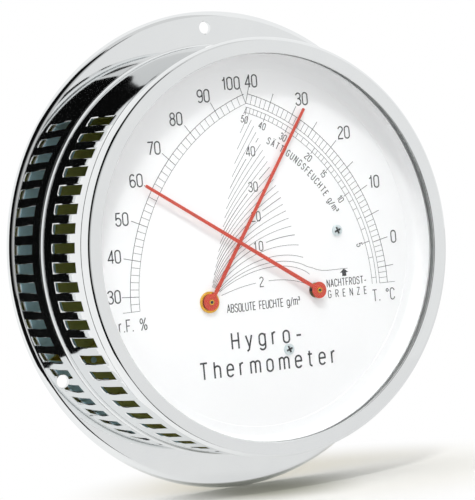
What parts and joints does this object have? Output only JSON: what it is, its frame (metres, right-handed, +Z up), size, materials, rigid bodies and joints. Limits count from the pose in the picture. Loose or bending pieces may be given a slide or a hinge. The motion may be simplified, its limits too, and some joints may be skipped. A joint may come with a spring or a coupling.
{
  "type": "thermo-hygrometer",
  "caption": "Round wall-hung thermo-hygrometer with a slotted flanged case, glass front and two long hands that cross over one dial.",
  "frame": {"origin": "centre of the flange's back face, on the wall", "axes": "+X right for someone facing the dial, +Y into the wall, +Z up"},
  "size_m": [0.16, 0.0339, 0.16],
  "materials": {
    "chromed_brass": "polished chrome plate on spun brass",
    "mineral_glass": "clear flat glass",
    "gasket_rubber": "matt",
    "white_lacquer": "satin white lacquer",
    "red_lacquer": "satin red lacquer",
    "raw_brass": "turned and stamped, unpolished",
    "plated_steel": "bright zinc plate",
    "spring_bronze": "rolled strip",
    "bimetal_strip": "rolled strip",
    "hair": "degreased hair"
  },
  "bodies": {
    "case": {"case_shell": "chromed_brass", "wall_flange": "chromed_brass", "bezel_ring": "chromed_brass", "glass": "mineral_glass", "glass_gasket": "gasket_rubber", "dial_ring": "white_lacquer", "dial_plate": "white_lacquer", "dial_lugs": "raw_brass", "cover_lugs": "raw_brass", "back_cover": "raw_brass", "cover_screws": "plated_steel", "dial_screws": "plated_steel", "hygro_standoffs": "raw_brass", "hygro_frame": "raw_brass", "hygro_pillars": "raw_brass", "hygro_bridge": "raw_brass", "hygro_bridge_screws": "plated_steel", "lower_hair_eye": "raw_brass", "hair_bundle": "hair", "hair_anchor_pin": "plated_steel", "adjuster_washer": "plated_steel", "hairspring": "spring_bronze", "hairspring_stud": "raw_brass", "thermometer_bush": "raw_brass", "thermometer_nut": "raw_brass", "regulator_lock_nut": "raw_brass", "thermometer_plate": "raw_brass", "thermometer_bridge": "raw_brass", "thermometer_pillars": "raw_brass", "thermometer_bridge_screws": "plated_steel", "bimetal_coil": "bimetal_strip", "regulator_arm": "raw_brass", "coil_stud": "raw_brass"},
    "humidity_works": {"humidity_arbor": "plated_steel", "humidity_crank": "raw_brass", "hairspring_collet": "raw_brass", "humidity_hand_collet": "raw_brass", "humidity_hand": "red_lacquer", "hair_saddle": "raw_brass"},
    "temperature_works": {"temperature_arbor": "plated_steel", "coil_collet": "raw_brass", "temperature_hand_collet": "raw_brass", "temperature_hand": "red_lacquer"},
    "hair_adjuster": {"adjuster_stud": "raw_brass", "adjuster_arm": "raw_brass", "adjuster_clip": "plated_steel", "upper_hair_eye": "raw_brass"}
  },
  "joints": [
    {"name": "humidity_hand_turn", "type": "hinge", "parent": "case", "child": "humidity_works", "pos_m": [0.02052, -0.0256, -0.01597], "axis": [0, -1, 0], "range_deg": [-39.3, 32.6], "stiffness_Nm_per_rad": 0.003, "deforming": ["hairspring", "hair_bundle"]},
    {"name": "temperature_hand_turn", "type": "hinge", "parent": "case", "child": "temperature_works", "pos_m": [-0.02052, -0.0247, -0.01597], "axis": [0, -1, 0], "range_deg": [-52.5, 16.9], "stiffness_Nm_per_rad": 0.025, "deforming": ["bimetal_coil"]},
    {"name": "adjuster_turn", "type": "hinge", "parent": "case", "child": "hair_adjuster", "pos_m": [0.04746, -0.017, 0.02851], "axis": [0, -1, 0], "range_deg": [-20, 20], "deforming": ["hair_bundle"]}
  ]
}
